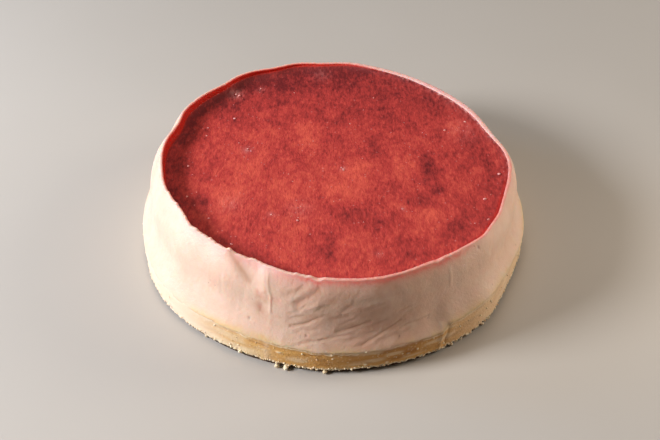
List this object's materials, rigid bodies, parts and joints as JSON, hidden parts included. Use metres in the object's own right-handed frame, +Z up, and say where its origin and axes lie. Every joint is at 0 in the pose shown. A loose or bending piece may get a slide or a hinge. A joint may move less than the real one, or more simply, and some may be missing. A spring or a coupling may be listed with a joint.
{
  "type": "cheesecake",
  "caption": "Round uncut cheesecake: pressed biscuit base, creased cream side leaning in to a thin uneven lip, and a red set fruit layer held inside the lip.",
  "frame": {"origin": "centre of the flat underside of the biscuit base", "axes": "+Z up through the fruit layer; -Y is the front seen in the picture, and +X is the side where the lip is lower"},
  "size_m": [0.2067, 0.21, 0.054],
  "materials": {
    "biscuit": "pressed golden biscuit crumb, dry and matt, paler and looser at its lower edge",
    "cream": "set pinkish cream cheese, smooth satin with film creases",
    "fruit": "set red fruit puree, frosted and mottled, wet and bright where it climbs the lip"
  },
  "bodies": {
    "root": {"biscuit_base": "biscuit", "cream_filling": "cream", "fruit_layer": "fruit"}
  },
  "joints": []
}
